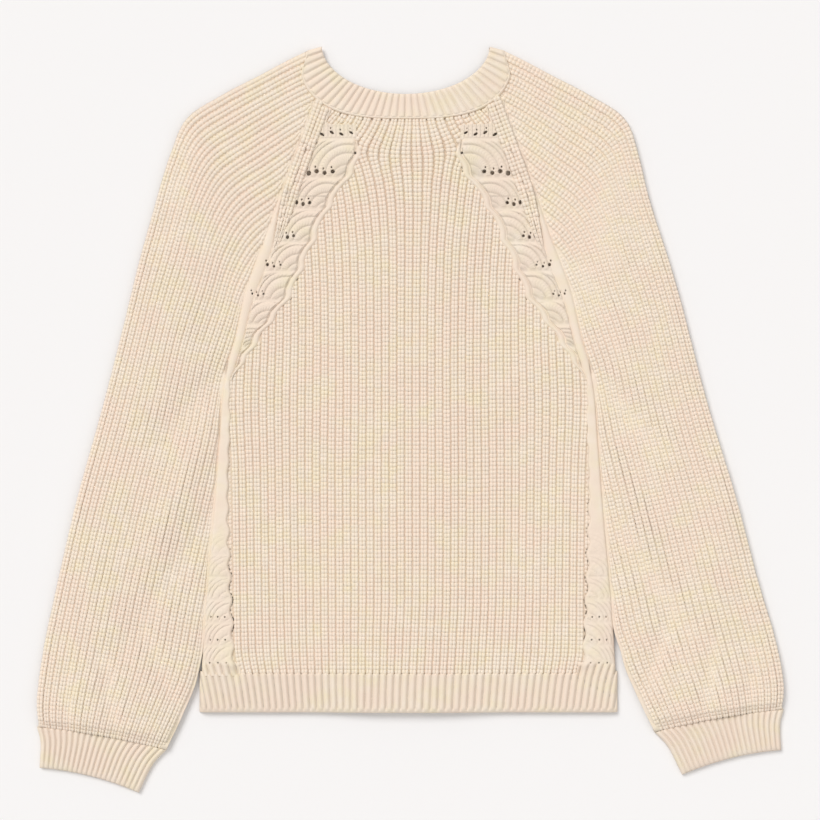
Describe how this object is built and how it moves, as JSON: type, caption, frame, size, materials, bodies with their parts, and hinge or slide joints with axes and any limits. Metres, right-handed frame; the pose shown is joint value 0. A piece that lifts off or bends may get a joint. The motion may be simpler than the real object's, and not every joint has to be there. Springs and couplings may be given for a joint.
{
  "type": "knit cardigan",
  "caption": "Raglan cardigan in half-fisherman rib with shell lace along the raglans and sides, buttoned and laid face down, full sleeves spread.",
  "frame": {"origin": "on the surface that the garment lies on, under the middle of the closed front bands", "axes": "+X across the garment to the right as it lies, +Y up to the neck, +Z off the surface"},
  "size_m": [0.6746, 0.6705, 0.0106],
  "materials": {
    "knit": "chunky cream half-fisherman rib with shell lace",
    "rib_trim": "finer cream rib",
    "button": "horn-coloured resin"
  },
  "bodies": {
    "root": {"back": "knit", "left_front": "knit", "right_front": "knit", "left_sleeve": "knit", "right_sleeve": "knit", "back_hem": "rib_trim", "left_front_hem": "rib_trim", "right_front_hem": "rib_trim", "neckband": "rib_trim", "left_cuff": "rib_trim", "right_cuff": "rib_trim", "buttonhole_band": "rib_trim", "button_band": "rib_trim", "button_1": "button", "button_2": "button", "button_3": "button", "button_4": "button", "button_5": "button", "button_6": "button"}
  },
  "joints": []
}
